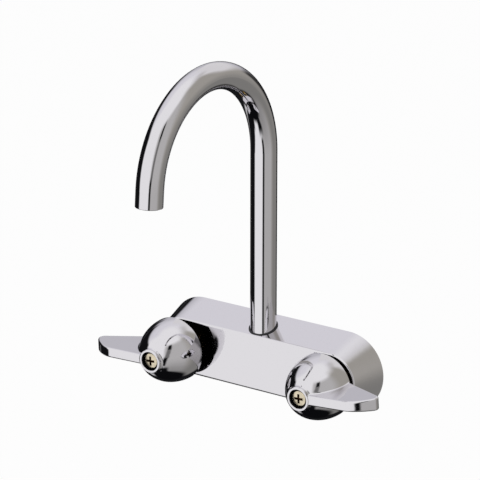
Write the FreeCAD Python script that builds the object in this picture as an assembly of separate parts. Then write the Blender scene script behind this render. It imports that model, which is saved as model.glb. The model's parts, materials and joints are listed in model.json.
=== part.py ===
# Wall-mounted bath faucet: two compression valves with lever handles and a fixed gooseneck spout.
#
# Millimetres. +X runs along the body to the cold side, +Z is up, and -Y is out of the wall towards the user.
# The origin is on the wall plane, midway between the valves, at the height of their axes.
# A depth is a distance out of the wall, along -Y, and it is negative behind the wall.
# Threads are plain cylinders at their major diameter.
import FreeCAD, Part
import math
import os

V = FreeCAD.Vector

# Overall layout
VALVE_SPACING = 127.0
SUPPLY_SPACING = 85.7
SPOUT_DEPTH = 16.3
CLOSED_GAP = 0.1

# Clearances
SLIP = 0.05
LOOSE = 0.3
SEAT_GAP = 0.02

# Body cover: a flat front with half-round ends about the valve axes, widening to a rim on the wall
COVER_DEPTH = 28.0
COVER_WALL = 1.8
FACE_HALF_HEIGHT = 20.7
FACE_EDGE_R = 1.7
RIM_HALF_HEIGHT = 28.7
RIM_HALF_WIDTH = 91.4

# Spout
SPOUT_R = 19.05 / 2
SPOUT_WALL = 1.0
SPOUT_ARCH_R = 67.8
SPOUT_TURN = 175.0
SPOUT_SPRING_Z = 156.5
SPOUT_OUTLET = 11.8
SPOUT_LIP_CHAMFER = 0.35
BASE_RING_WALL = 0.95
BASE_RING_PROUD = 0.5
BASE_RING_BELOW = 1.2
TAIL_COLLAR_HEIGHT = 2.5
TAIL_COLLAR_R = 9.4
TAIL_THREAD_R = 8.2
TAIL_THREAD_LENGTH = 11.0
TAIL_SLEEVE_LENGTH = 12.0
TAIL_BORE_R = 6.4
SPOUT_SEAL_THICK = 1.2

# Valve body casting
BARREL_R = 13.0
BARREL_BACK_DEPTH = 1.5
BARREL_FRONT_DEPTH = 21.0
SUPPLY_FLOOR_DEPTH = 4.0
SUPPLY_CHAMBER_R = 6.0
WEB_BACK_DEPTH = 10.5
WEB_THICK = 2.7
VALVE_CHAMBER_R = 8.0
MIX_DEPTH = 16.5
MIX_EMBED = 1.5
MIX_R = 5.6
MIX_BORE_R = 3.2
SPOUT_BOSS_R = 9.6
SPOUT_BOSS_TOP_Z = 13.8
SPOUT_BOSS_FLOOR = 2.9
SPOUT_BOSS_SUMP_Z = -3.7
INLET_BOSS_R = 12.8
INLET_BOSS_BACK_DEPTH = 0.6
INLET_BOSS_FRONT_DEPTH = 13.0
INLET_CHAMBER_DEPTH = 10.4
FEED_DEPTH = 8.3
FEED_DEEP = 4.2
FEED_TALL = 9.0

# Supply shanks and their wall fixings
SHANK_R = 10.4
SHANK_BORE_R = 6.5
SHANK_ENGAGEMENT = 5.4
SHANK_LENGTH_BEHIND = 38.0
SHANK_CHAMFER = 1.2
SHANK_GROOVE_R = 9.4
SHANK_GROOVE_WIDTH = 1.0
SHANK_FREE_LENGTH = 12.0
WALL_BOARD = 12.7
WALL_GASKET_R = 16.5
WALL_GASKET_THICK = 2.0
WALL_WASHER_R = 16.0
WALL_WASHER_THICK = 1.5
LOCKNUT_FLATS = 28.6
LOCKNUT_THICK = 6.5

# Valve seat
SEAT_THREAD_R = 7.0
SEAT_FLANGE_R = 7.7
SEAT_FLANGE_THICK = 0.8
SEAT_LIP_R = 5.7
SEAT_LIP_HEIGHT = 0.4
SEAT_THROAT_R = 4.7
SEAT_SOCKET_FLATS = 8.6
SEAT_SOCKET_DEPTH = 2.2

# Bonnet and the nuts on it
BONNET_GASKET_THICK = 1.0
BONNET_SPIGOT_R = 8.6
BONNET_SPIGOT_LENGTH = 3.5
BONNET_FLANGE_R = 10.3
BONNET_NECK_R = 8.9
BONNET_NECK_END_DEPTH = 35.0
BONNET_FLATS = 15.2
BONNET_NOSE_R = 8.0
BONNET_NOSE_END_DEPTH = 40.8
BONNET_NOSE_WALL = 1.5
HOLDER_WELL_R = 7.6
HOLDER_WELL_DEPTH = 24.8
COVER_NUT_FLATS = 21.0
COVER_NUT_THICK = 3.2
PACKING_R = 6.9
PACKING_THICK = 3.8
PACKING_NUT_FLATS = 20.6
PACKING_NUT_BACK_DEPTH = 35.6
PACKING_NUT_FRONT_WALL = 2.6
PACKING_NUT_SHOULDER_R = 9.2
PACKING_NUT_HEX_LENGTH = 8.0
NUT_CHAMFER = 0.8

# Stem and what it carries
STEM_LEAD = 5.08
STEM_R = 4.0
STEM_THREAD_R = 6.0
STEM_FOOT_R = 5.0
STEM_THREAD_START_DEPTH = 26.0
STEM_THREAD_END_DEPTH = 35.0
BROACH_TIP_R = 4.3
BROACH_ROOT_R = 3.8
BROACH_TEETH = 16
STEM_TAP_BEYOND = 2.3
HOLDER_R = 7.2
HOLDER_LENGTH = 4.6
HOLDER_LIP = 1.8
HOLDER_STUD_R = 2.5
HOLDER_STUD_LENGTH = 5.0
SEAT_WASHER_R = 6.4
SEAT_WASHER_THICK = 3.2
WASHER_SCREW_HEAD_R = 3.4
WASHER_SCREW_HEAD = 1.4
WASHER_SCREW_R = 1.7
WASHER_SCREW_LENGTH = 8.0
SCREW_SLOT_WIDTH = 0.9

# Handle: a domed canopy with a boss for the screw and a wing-shaped lever
HANDLE_SKIRT_DEPTH = 36.3
HANDLE_FRONT_DEPTH = 68.3
DOME_R = 23.65
BOSS_PROUD = 0.2
DOME_WALL = 2.0
BOSS_R = 8.9
BOSS_BLEND_R = 2.2
RECESS_R = 6.8
RECESS_FLOOR = 4.2
BOSS_RIM_CHAMFER = 0.4
HUB_R = 8.6
HUB_CLEARANCE = 3.9
HUB_SEAT_THICK = 1.4
LEVER_FRONT_SETBACK = 0.5
LEVER_STRAIGHT = 35.8
LEVER_REACH = 57.2
LEVER_TIP_SETBACK = 17.4
LEVER_FRONT_PULL = 9.6
LEVER_TIP_PULL = 6.1
LEVER_ROOT_SINK = 1.3
LEVER_HALF_THICK = 3.65
LEVER_TAPER = 0.066
LEVER_EDGE_R = 1.3
LEVER_TIP_R = 4.5
LEVER_BLEND_R = 1.5
HOT_CLOCK = 182.2
COLD_CLOCK = 4.6

# Handle screw
HANDLE_SCREW_HEAD_R = 5.6
HANDLE_SCREW_HEAD = 2.3
HANDLE_SCREW_CROWN = 0.8
HANDLE_SCREW_R = 2.3
HANDLE_SCREW_LENGTH = 12.5
CROSS_LENGTH = 6.8
CROSS_WIDTH = 1.6
CROSS_SINK = 1.9

# Places worked out from the sizes above
HOT_X = -VALVE_SPACING / 2
COLD_X = VALVE_SPACING / 2
SUPPLY_X = SUPPLY_SPACING / 2
SHANK_INNER_DEPTH = INLET_BOSS_BACK_DEPTH + SHANK_ENGAGEMENT
COVER_INNER_DEPTH = COVER_DEPTH - COVER_WALL
WEB_FRONT_DEPTH = WEB_BACK_DEPTH + WEB_THICK
SEAT_LIP_DEPTH = WEB_FRONT_DEPTH + SEAT_FLANGE_THICK + SEAT_LIP_HEIGHT
WASHER_DEPTH = SEAT_LIP_DEPTH + CLOSED_GAP
WASHER_BACK_DEPTH = WASHER_DEPTH + SEAT_WASHER_THICK
HOLDER_START_DEPTH = WASHER_BACK_DEPTH - HOLDER_LIP
HOLDER_END_DEPTH = HOLDER_START_DEPTH + HOLDER_LENGTH
STEM_START_DEPTH = HOLDER_END_DEPTH + CLOSED_GAP
BONNET_FLANGE_DEPTH = BARREL_FRONT_DEPTH + BONNET_GASKET_THICK
SPIGOT_START_DEPTH = BONNET_FLANGE_DEPTH - BONNET_GASKET_THICK - BONNET_SPIGOT_LENGTH
BONNET_BORE_R = STEM_THREAD_R + SLIP
PACKING_END_DEPTH = BONNET_NOSE_END_DEPTH + PACKING_THICK
SCREW_SEAT_DEPTH = HANDLE_FRONT_DEPTH - RECESS_FLOOR
HUB_START_DEPTH = PACKING_END_DEPTH + PACKING_NUT_FRONT_WALL + HUB_CLEARANCE
SOCKET_END_DEPTH = SCREW_SEAT_DEPTH - HUB_SEAT_THICK
BROACH_START_DEPTH = HUB_START_DEPTH - CLOSED_GAP
BROACH_END_DEPTH = SOCKET_END_DEPTH - CLOSED_GAP
LEVER_ROOT = DOME_R - LEVER_ROOT_SINK
STEM_TAP_DEPTH = SCREW_SEAT_DEPTH - HANDLE_SCREW_LENGTH - STEM_TAP_BEYOND
DOME_HEIGHT = HANDLE_FRONT_DEPTH - HANDLE_SKIRT_DEPTH - BOSS_PROUD
FACE_HALF_WIDTH = VALVE_SPACING / 2 + FACE_HALF_HEIGHT
SPOUT_INNER_R = SPOUT_R - SPOUT_WALL
TAIL_COLLAR_Z = SPOUT_BOSS_TOP_Z + SPOUT_SEAL_THICK
SPOUT_FOOT_Z = TAIL_COLLAR_Z + TAIL_COLLAR_HEIGHT
BASE_RING_R = SPOUT_R + SLIP + BASE_RING_WALL
BASE_RING_Z = FACE_HALF_HEIGHT - COVER_WALL - BASE_RING_BELOW
COVER_SLOPE = (RIM_HALF_HEIGHT - FACE_HALF_HEIGHT) / COVER_DEPTH


def rod(x, z, radius, start, end):
    """A round bar along the depth direction, from one depth to another."""
    return Part.makeCylinder(radius, end - start, V(x, -start, z), V(0, -1, 0))


def ring(x, z, outer, inner, start, end):
    return rod(x, z, outer, start, end).cut(rod(x, z, inner, start, end))


def hexagon(x, z, flats, start, end):
    """A hexagonal bar along the depth direction, with flats to the left and right."""
    corner = flats / math.sqrt(3)
    turns = [math.radians(60 * i + 30) for i in range(7)]
    points = [V(x + corner * math.cos(a), -start, z + corner * math.sin(a)) for a in turns]
    return Part.Face(Part.makePolygon(points)).extrude(V(0, start - end, 0))


def turned(x, outline):
    """A solid turned about a valve axis from (radius, depth) points that start and end on the axis."""
    points = [V(x + r, -d, 0) for r, d in outline]
    face = Part.Face(Part.makePolygon(points + [points[0]]))
    return face.revolve(V(x, 0, 0), V(0, 1, 0), 360)


def chamfered_nut(x, flats, start, end, bore):
    """A hexagonal nut with turned corners at both ends."""
    corner = flats / math.sqrt(3)
    blank = turned(x, [(0, start), (corner - NUT_CHAMFER, start), (corner, start + NUT_CHAMFER),
                       (corner, end - NUT_CHAMFER), (corner - NUT_CHAMFER, end), (0, end)])
    return hexagon(x, 0, flats, start, end).common(blank).cut(rod(x, 0, bore, start, end))


def stadium(half_width, half_height, depth):
    """An outline with straight long sides and half-round ends, standing across the depth direction."""
    y = -depth
    reach = half_width - half_height
    top_left, top_right = V(-reach, y, half_height), V(reach, y, half_height)
    low_left, low_right = V(-reach, y, -half_height), V(reach, y, -half_height)
    return Part.Wire([
        Part.makeLine(top_left, top_right),
        Part.Arc(top_right, V(half_width, y, 0), low_right).toShape(),
        Part.makeLine(low_right, low_left),
        Part.Arc(low_left, V(-half_width, y, 0), top_left).toShape(),
    ])


def cover_size(depth):
    """The cover's outer half width and half height at a depth."""
    share = depth / COVER_DEPTH
    return (RIM_HALF_WIDTH + (FACE_HALF_WIDTH - RIM_HALF_WIDTH) * share,
            RIM_HALF_HEIGHT + (FACE_HALF_HEIGHT - RIM_HALF_HEIGHT) * share)


def cover_form(depths, inset):
    """The cover's form between two depths, drawn in by an inset on its sides."""
    wires = []
    for depth in depths:
        width, height = cover_size(depth)
        wires.append(stadium(width - inset, height - inset, depth))
    return Part.makeLoft(wires, True, True)


def edges_at_depth(shape, depth):
    return [e for e in shape.Edges if all(abs(v.y + depth) < 1e-4 for v in e.discretize(5))]


def body_cover():
    """The chromed cover, hollow and open at the wall."""
    outer = cover_form((0, COVER_DEPTH), 0)
    outer = outer.makeFillet(FACE_EDGE_R, edges_at_depth(outer, COVER_DEPTH))
    side_inset = COVER_WALL / math.cos(math.atan(COVER_SLOPE))
    hollow = cover_form((-COVER_WALL, COVER_INNER_DEPTH), side_inset)
    cover = outer.cut(hollow)
    for x in (HOT_X, COLD_X):
        cover = cover.cut(rod(x, 0, BONNET_NECK_R + LOOSE, COVER_INNER_DEPTH, COVER_DEPTH))
    spout_hole = Part.makeCylinder(BASE_RING_R + SLIP, RIM_HALF_HEIGHT, V(0, -SPOUT_DEPTH, BASE_RING_Z - LOOSE))
    return cover.cut(spout_hole)


def valve_body():
    """The brass casting: two valve barrels, two inlet bosses, the mixing bar and the spout boss."""
    mix_start = HOT_X + BARREL_R - MIX_EMBED
    outside = Part.makeCylinder(MIX_R, -2 * mix_start, V(mix_start, -MIX_DEPTH, 0), V(1, 0, 0))
    cavities = []
    for x, supply_x in ((HOT_X, -SUPPLY_X), (COLD_X, SUPPLY_X)):
        outside = outside.fuse([rod(x, 0, BARREL_R, BARREL_BACK_DEPTH, BARREL_FRONT_DEPTH),
                                rod(supply_x, 0, INLET_BOSS_R, INLET_BOSS_BACK_DEPTH, INLET_BOSS_FRONT_DEPTH)])
        inward = V(-math.copysign(1, x), 0, 0)
        cavities += [
            rod(x, 0, SUPPLY_CHAMBER_R, SUPPLY_FLOOR_DEPTH, WEB_BACK_DEPTH),
            rod(x, 0, SEAT_THREAD_R + SLIP, WEB_BACK_DEPTH, WEB_FRONT_DEPTH),
            rod(x, 0, VALVE_CHAMBER_R, WEB_FRONT_DEPTH, SPIGOT_START_DEPTH),
            rod(x, 0, BONNET_SPIGOT_R + SLIP, SPIGOT_START_DEPTH - SLIP, BARREL_FRONT_DEPTH),
            rod(supply_x, 0, SHANK_R + SLIP, INLET_BOSS_BACK_DEPTH, SHANK_INNER_DEPTH),
            rod(supply_x, 0, SHANK_BORE_R, SHANK_INNER_DEPTH, INLET_CHAMBER_DEPTH),
            Part.makeBox(abs(x - supply_x), FEED_DEEP, FEED_TALL,
                         V(min(x, supply_x), -FEED_DEPTH - FEED_DEEP / 2, -FEED_TALL / 2)),
            Part.makeCylinder(MIX_BORE_R, abs(x) - VALVE_CHAMBER_R + MIX_EMBED,
                              V(x, -MIX_DEPTH, 0) + inward * (VALVE_CHAMBER_R - MIX_EMBED), inward),
        ]
    floor_z = SPOUT_BOSS_SUMP_Z - SPOUT_BOSS_FLOOR
    thread_z = SPOUT_BOSS_TOP_Z - TAIL_THREAD_LENGTH
    sump_height = thread_z - SPOUT_BOSS_SUMP_Z
    outside = outside.fuse(Part.makeCylinder(SPOUT_BOSS_R, SPOUT_BOSS_TOP_Z - floor_z, V(0, -SPOUT_DEPTH, floor_z)))
    cavities.append(Part.makeCylinder(TAIL_BORE_R, sump_height, V(0, -SPOUT_DEPTH, SPOUT_BOSS_SUMP_Z)))
    cavities.append(Part.makeCylinder(TAIL_THREAD_R + SLIP, TAIL_THREAD_LENGTH, V(0, -SPOUT_DEPTH, thread_z)))
    return outside.removeSplitter().cut(cavities)


def spout_lip():
    """The middle of the spout's open end, and the way the water leaves it."""
    turn = math.radians(SPOUT_TURN)
    heading = V(0, -math.sin(turn), math.cos(turn))
    arch_end = V(0, SPOUT_ARCH_R * (math.cos(turn) - 1) - SPOUT_DEPTH, SPOUT_SPRING_Z + SPOUT_ARCH_R * math.sin(turn))
    return arch_end + heading * SPOUT_OUTLET, heading


def gooseneck(radius):
    """A solid bar along the spout's course: a straight riser, an arch short of a half turn and a straight outlet."""
    axis = V(0, -SPOUT_DEPTH, 0)
    foot = Part.Face(Part.Wire(Part.makeCircle(radius, axis + V(0, 0, SPOUT_FOOT_Z))))
    riser = foot.extrude(V(0, 0, SPOUT_SPRING_Z - SPOUT_FOOT_Z))
    spring = Part.Face(Part.Wire(Part.makeCircle(radius, axis + V(0, 0, SPOUT_SPRING_Z))))
    arch = spring.revolve(axis + V(0, -SPOUT_ARCH_R, SPOUT_SPRING_Z), V(1, 0, 0), SPOUT_TURN)
    lip, heading = spout_lip()
    outlet = Part.makeCylinder(radius, SPOUT_OUTLET, lip, -heading)
    return riser.fuse([arch, outlet]).removeSplitter()


def spout_tube():
    tube = gooseneck(SPOUT_R).cut(gooseneck(SPOUT_INNER_R))
    lip, heading = spout_lip()
    rims = [e for e in tube.Edges if all(abs((v - lip).dot(heading)) < 1e-4 and (v - lip).Length < 2 * SPOUT_R
                                         for v in e.discretize(5))]
    return tube.makeChamfer(SPOUT_LIP_CHAMFER, rims)


def spout_base_ring():
    """The bush between the tube and the cover, cut to the slope of the cover's top."""
    centre = V(0, -SPOUT_DEPTH, 0)
    height = 2 * RIM_HALF_HEIGHT
    bush = Part.makeCylinder(BASE_RING_R, height, centre).cut(Part.makeCylinder(SPOUT_R + SLIP, height, centre))
    top_z = FACE_HALF_HEIGHT + BASE_RING_PROUD
    front, back = -COVER_DEPTH, 0
    rise = COVER_SLOPE * COVER_DEPTH
    corners = [V(-height, front, BASE_RING_Z), V(-height, back, BASE_RING_Z + rise),
               V(-height, back, top_z + rise), V(-height, front, top_z)]
    slab = Part.Face(Part.makePolygon(corners + [corners[0]])).extrude(V(2 * height, 0, 0))
    return bush.common(slab)


def spout_tailpiece():
    """The brass end in the tube's foot, with a collar and a thread for the spout boss."""
    axis = V(0, -SPOUT_DEPTH, 0)
    piece = Part.makeCylinder(TAIL_THREAD_R, TAIL_THREAD_LENGTH + SPOUT_SEAL_THICK,
                              axis + V(0, 0, SPOUT_BOSS_TOP_Z - TAIL_THREAD_LENGTH))
    piece = piece.fuse([
        Part.makeCylinder(TAIL_COLLAR_R, TAIL_COLLAR_HEIGHT, axis + V(0, 0, TAIL_COLLAR_Z)),
        Part.makeCylinder(SPOUT_INNER_R - SLIP, TAIL_SLEEVE_LENGTH, axis + V(0, 0, SPOUT_FOOT_Z)),
    ])
    return piece.removeSplitter().cut(Part.makeCylinder(TAIL_BORE_R, SPOUT_SPRING_Z, axis))


def spout_seal():
    axis = V(0, -SPOUT_DEPTH, SPOUT_BOSS_TOP_Z)
    seal = Part.makeCylinder(TAIL_COLLAR_R, SPOUT_SEAL_THICK, axis)
    return seal.cut(Part.makeCylinder(TAIL_THREAD_R + SLIP, SPOUT_SEAL_THICK, axis))


def supply_shank(x):
    """A threaded nipple from the casting out through the wall, with a relief groove and a chamfered free end."""
    end = -SHANK_LENGTH_BEHIND
    groove = end + SHANK_FREE_LENGTH
    outline = [(0, SHANK_INNER_DEPTH), (SHANK_R, SHANK_INNER_DEPTH), (SHANK_R, groove + SHANK_GROOVE_WIDTH),
               (SHANK_GROOVE_R, groove + SHANK_GROOVE_WIDTH), (SHANK_GROOVE_R, groove), (SHANK_R, groove),
               (SHANK_R, end + SHANK_CHAMFER), (SHANK_R - SHANK_CHAMFER, end), (0, end)]
    return turned(x, outline).cut(rod(x, 0, SHANK_BORE_R, end, SHANK_INNER_DEPTH))


def on_both_shanks(make):
    return Part.makeCompound([make(-SUPPLY_X), make(SUPPLY_X)])


def wall_gasket(x):
    return ring(x, 0, WALL_GASKET_R, SHANK_R + SLIP, -WALL_BOARD - WALL_GASKET_THICK, -WALL_BOARD)


def wall_washer(x):
    front = -WALL_BOARD - WALL_GASKET_THICK
    return ring(x, 0, WALL_WASHER_R, SHANK_R + SLIP, front - WALL_WASHER_THICK, front)


def locknut(x):
    front = -WALL_BOARD - WALL_GASKET_THICK - WALL_WASHER_THICK
    return chamfered_nut(x, LOCKNUT_FLATS, front - LOCKNUT_THICK, front, SHANK_R + SLIP)


def seat(x):
    """The renewable seat, with a hexagonal socket for its key and a raised lip for the washer."""
    flange_end = WEB_FRONT_DEPTH + SEAT_FLANGE_THICK
    piece = turned(x, [(0, WEB_BACK_DEPTH), (SEAT_THREAD_R, WEB_BACK_DEPTH), (SEAT_THREAD_R, WEB_FRONT_DEPTH),
                       (SEAT_FLANGE_R, WEB_FRONT_DEPTH), (SEAT_FLANGE_R, flange_end), (SEAT_LIP_R, flange_end),
                       ((SEAT_LIP_R + SEAT_THROAT_R) / 2, SEAT_LIP_DEPTH), (0, SEAT_LIP_DEPTH)])
    piece = piece.cut(rod(x, 0, SEAT_THROAT_R, WEB_BACK_DEPTH, SEAT_LIP_DEPTH))
    return piece.cut(hexagon(x, 0, SEAT_SOCKET_FLATS + 2 * LOOSE, WEB_BACK_DEPTH, WEB_BACK_DEPTH + SEAT_SOCKET_DEPTH))


def bonnet_gasket(x):
    return ring(x, 0, BONNET_FLANGE_R, BONNET_SPIGOT_R + SLIP, BARREL_FRONT_DEPTH, BONNET_FLANGE_DEPTH)


def bonnet(x):
    """The bonnet: it screws into the barrel, carries the cover on its neck and guides the stem."""
    outside = rod(x, 0, BONNET_SPIGOT_R, SPIGOT_START_DEPTH, BONNET_FLANGE_DEPTH)
    outside = outside.fuse([
        rod(x, 0, BONNET_FLANGE_R, BONNET_FLANGE_DEPTH, COVER_INNER_DEPTH),
        rod(x, 0, BONNET_NECK_R, COVER_INNER_DEPTH, BONNET_NECK_END_DEPTH),
        rod(x, 0, BONNET_NOSE_R, BONNET_NECK_END_DEPTH, BONNET_NOSE_END_DEPTH),
    ])
    thread_top = BONNET_NOSE_END_DEPTH - BONNET_NOSE_WALL
    flats_length = BONNET_NECK_END_DEPTH - COVER_DEPTH - COVER_NUT_THICK
    wrench_flats = [Part.makeBox(BONNET_NECK_R, flats_length, 2 * BONNET_NECK_R,
                                 V(edge, -BONNET_NECK_END_DEPTH, -BONNET_NECK_R))
                    for edge in (x - BONNET_FLATS / 2 - BONNET_NECK_R, x + BONNET_FLATS / 2)]
    return outside.removeSplitter().cut(wrench_flats + [
        rod(x, 0, HOLDER_WELL_R, SPIGOT_START_DEPTH, HOLDER_WELL_DEPTH),
        rod(x, 0, BONNET_BORE_R, HOLDER_WELL_DEPTH, thread_top),
        rod(x, 0, STEM_R + LOOSE, thread_top, BONNET_NOSE_END_DEPTH),
    ])


def cover_nut(x):
    return chamfered_nut(x, COVER_NUT_FLATS, COVER_DEPTH, COVER_DEPTH + COVER_NUT_THICK, BONNET_NECK_R + SLIP)


def packing(x):
    return ring(x, 0, PACKING_R, STEM_R + SLIP, BONNET_NOSE_END_DEPTH, PACKING_END_DEPTH)


def packing_nut(x):
    """The nut that squeezes the packing round the stem: a hexagon with a round shoulder."""
    hex_end = PACKING_NUT_BACK_DEPTH + PACKING_NUT_HEX_LENGTH
    front = PACKING_END_DEPTH + PACKING_NUT_FRONT_WALL
    nut = chamfered_nut(x, PACKING_NUT_FLATS, PACKING_NUT_BACK_DEPTH, hex_end, STEM_R + LOOSE)
    shoulder = turned(x, [(0, hex_end), (PACKING_NUT_SHOULDER_R, hex_end),
                          (PACKING_NUT_SHOULDER_R, front - NUT_CHAMFER),
                          (PACKING_NUT_SHOULDER_R - NUT_CHAMFER, front), (0, front)])
    shoulder = shoulder.cut(rod(x, 0, STEM_R + LOOSE, hex_end, front))
    thread_end = BONNET_NOSE_END_DEPTH + LOOSE
    return nut.fuse(shoulder).removeSplitter().cut([
        rod(x, 0, BONNET_NOSE_R + SLIP, PACKING_NUT_BACK_DEPTH, thread_end),
        rod(x, 0, PACKING_R + SLIP, thread_end, PACKING_END_DEPTH),
    ])


def broach(x, clock, grow, start, end):
    """The toothed bar that keys a handle to its stem, drawn larger by a clearance for the socket."""
    points = []
    for i in range(2 * BROACH_TEETH + 1):
        radius = (BROACH_TIP_R if i % 2 == 0 else BROACH_ROOT_R) + grow
        turn = math.radians(clock) + math.pi * i / BROACH_TEETH
        points.append(V(x + radius * math.cos(turn), -start, radius * math.sin(turn)))
    return Part.Face(Part.makePolygon(points)).extrude(V(0, start - end, 0))


def stem(x, clock):
    """The rising stem: a foot that holds the washer holder, the lift thread, the rod and the broach."""
    body = turned(x, [(0, STEM_START_DEPTH), (STEM_FOOT_R, STEM_START_DEPTH), (STEM_FOOT_R, STEM_THREAD_START_DEPTH),
                      (STEM_THREAD_R, STEM_THREAD_START_DEPTH), (STEM_THREAD_R, STEM_THREAD_END_DEPTH),
                      (STEM_R, STEM_THREAD_END_DEPTH), (STEM_R, BROACH_START_DEPTH), (0, BROACH_START_DEPTH)])
    body = body.fuse(broach(x, clock, 0, BROACH_START_DEPTH, BROACH_END_DEPTH))
    stud_end = STEM_START_DEPTH + HOLDER_STUD_LENGTH + CLOSED_GAP
    return body.cut([
        rod(x, 0, HOLDER_STUD_R + SLIP, STEM_START_DEPTH, stud_end),
        rod(x, 0, HANDLE_SCREW_R + SLIP, STEM_TAP_DEPTH, BROACH_END_DEPTH),
    ])


def washer_holder(x):
    """The cup that carries the seat washer and swivels in the stem's foot."""
    piece = turned(x, [(0, WASHER_BACK_DEPTH), (SEAT_WASHER_R + SLIP, WASHER_BACK_DEPTH),
                       (SEAT_WASHER_R + SLIP, HOLDER_START_DEPTH), (HOLDER_R, HOLDER_START_DEPTH),
                       (HOLDER_R, HOLDER_END_DEPTH), (HOLDER_STUD_R, HOLDER_END_DEPTH),
                       (HOLDER_STUD_R, HOLDER_END_DEPTH + HOLDER_STUD_LENGTH), (0, HOLDER_END_DEPTH + HOLDER_STUD_LENGTH)])
    return piece.cut(rod(x, 0, WASHER_SCREW_R + SLIP, WASHER_BACK_DEPTH, WASHER_DEPTH + WASHER_SCREW_LENGTH + CLOSED_GAP))


def seat_washer(x):
    return ring(x, 0, SEAT_WASHER_R, WASHER_SCREW_R + SLIP, WASHER_DEPTH, WASHER_BACK_DEPTH)


def washer_screw(x):
    head_start = WASHER_DEPTH - WASHER_SCREW_HEAD
    screw = rod(x, 0, WASHER_SCREW_HEAD_R, head_start, WASHER_DEPTH)
    screw = screw.fuse(rod(x, 0, WASHER_SCREW_R, WASHER_DEPTH, WASHER_DEPTH + WASHER_SCREW_LENGTH))
    slot = Part.makeBox(2 * WASHER_SCREW_HEAD_R, WASHER_SCREW_HEAD / 2, SCREW_SLOT_WIDTH,
                        V(x - WASHER_SCREW_HEAD_R, -head_start - WASHER_SCREW_HEAD / 2, -SCREW_SLOT_WIDTH / 2))
    return screw.removeSplitter().cut(slot)


def arc_of(curve, first, last):
    """The shorter edge of a closed curve between two of its points."""
    low, high = sorted((curve.parameter(first), curve.parameter(last)))
    if high - low > math.pi:
        low, high = high, low + 2 * math.pi
    return Part.Edge(curve, low, high)


def dome_curve(radius, height, start):
    """The ellipse that a dome is turned from, in the plane of its axis."""
    rim = V(radius, -start, 0)
    apex = V(0, -start - height, 0)
    ends = (apex, rim) if height > radius else (rim, apex)
    return Part.Ellipse(*ends, V(0, -start, 0))


def revolved(edges):
    face = Part.Face(Part.Wire(Part.__sortEdges__(edges)))
    return face.revolve(V(0, 0, 0), V(0, 1, 0), 360)


def dome(radius, height, start):
    """A half ellipsoid that rises out of the wall from a depth."""
    foot = V(0, -start, 0)
    rim = V(radius, -start, 0)
    apex = V(0, -start - height, 0)
    arc = arc_of(dome_curve(radius, height, start), rim, apex)
    return revolved([arc, Part.makeLine(foot, rim), Part.makeLine(apex, foot)])


def blend_centre(turn):
    """Where the boss blend's centre lies when the blend touches the dome at a turn of its ellipse."""
    point = V(DOME_R * math.cos(turn), -HANDLE_SKIRT_DEPTH - DOME_HEIGHT * math.sin(turn), 0)
    normal = V(math.cos(turn) / DOME_R, -math.sin(turn) / DOME_HEIGHT, 0).normalize()
    return point, normal, point + normal * BOSS_BLEND_R


def canopy():
    """The solid form of a handle's dome and boss, with a hollow blend between them."""
    low, high = 0.0, math.acos(BOSS_R / DOME_R)
    for _ in range(60):
        middle = (low + high) / 2
        if blend_centre(middle)[2].x > BOSS_R + BOSS_BLEND_R:
            low = middle
        else:
            high = middle
    touch, normal, centre = blend_centre(low)
    foot = V(0, -HANDLE_SKIRT_DEPTH, 0)
    rim = V(DOME_R, -HANDLE_SKIRT_DEPTH, 0)
    boss_foot = centre - V(BOSS_BLEND_R, 0, 0)
    between = centre + (touch + boss_foot - centre * 2).normalize() * BOSS_BLEND_R
    boss_side = V(BOSS_R, BOSS_RIM_CHAMFER - HANDLE_FRONT_DEPTH, 0)
    boss_rim = V(BOSS_R - BOSS_RIM_CHAMFER, -HANDLE_FRONT_DEPTH, 0)
    top = V(0, -HANDLE_FRONT_DEPTH, 0)
    return revolved([
        arc_of(dome_curve(DOME_R, DOME_HEIGHT, HANDLE_SKIRT_DEPTH), rim, touch),
        Part.Arc(touch, between, boss_foot).toShape(),
        Part.makeLine(boss_foot, boss_side),
        Part.makeLine(boss_side, boss_rim),
        Part.makeLine(boss_rim, top),
        Part.makeLine(top, foot),
        Part.makeLine(foot, rim),
    ])


def lever():
    """The wing: flat on its front and faces, thicker towards the wall, with a swept round tip."""
    front = HANDLE_FRONT_DEPTH - LEVER_FRONT_SETBACK
    tip = HANDLE_FRONT_DEPTH - LEVER_TIP_SETBACK
    back = HANDLE_SKIRT_DEPTH
    shoulder = V(LEVER_STRAIGHT, -front, 0)
    end = V(LEVER_REACH, -tip, 0)
    sweep = Part.BezierCurve()
    sweep.setPoles([shoulder, shoulder + V(LEVER_FRONT_PULL, 0, 0), end + V(0, -LEVER_TIP_PULL, 0), end])
    root = V(LEVER_ROOT, -back, 0)
    corners = [end, root, V(0, -back, 0), V(0, -front, 0), shoulder]
    lines = [Part.makeLine(a, b) for a, b in zip(corners, corners[1:])]
    tall = DOME_R
    plan = Part.Face(Part.Wire(Part.__sortEdges__([sweep.toShape()] + lines)))
    plan.translate(V(0, 0, -tall))
    blank = plan.extrude(V(0, 0, 2 * tall))
    back_half = LEVER_HALF_THICK + LEVER_TAPER * (front - back)
    wedge = [V(0, -front, LEVER_HALF_THICK), V(0, -back, back_half), V(0, -back, -back_half),
             V(0, -front, -LEVER_HALF_THICK)]
    faces = Part.Face(Part.makePolygon(wedge + [wedge[0]])).extrude(V(2 * LEVER_REACH, 0, 0))
    wing = blank.common(faces)
    tip_edges = [e for e in wing.Edges if all(abs(v.x - LEVER_REACH) < 1e-3 and abs(v.y + tip) < 1e-3
                                              for v in e.discretize(4))]
    wing = wing.makeFillet(LEVER_TIP_R, tip_edges)
    outline_edges = [e for e in wing.Edges if e.BoundBox.XMax > LEVER_ROOT + LEVER_EDGE_R
                     and e.BoundBox.ZLength < back_half and e.BoundBox.XLength > LEVER_EDGE_R]
    return wing.makeFillet(LEVER_EDGE_R, outline_edges)


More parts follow.
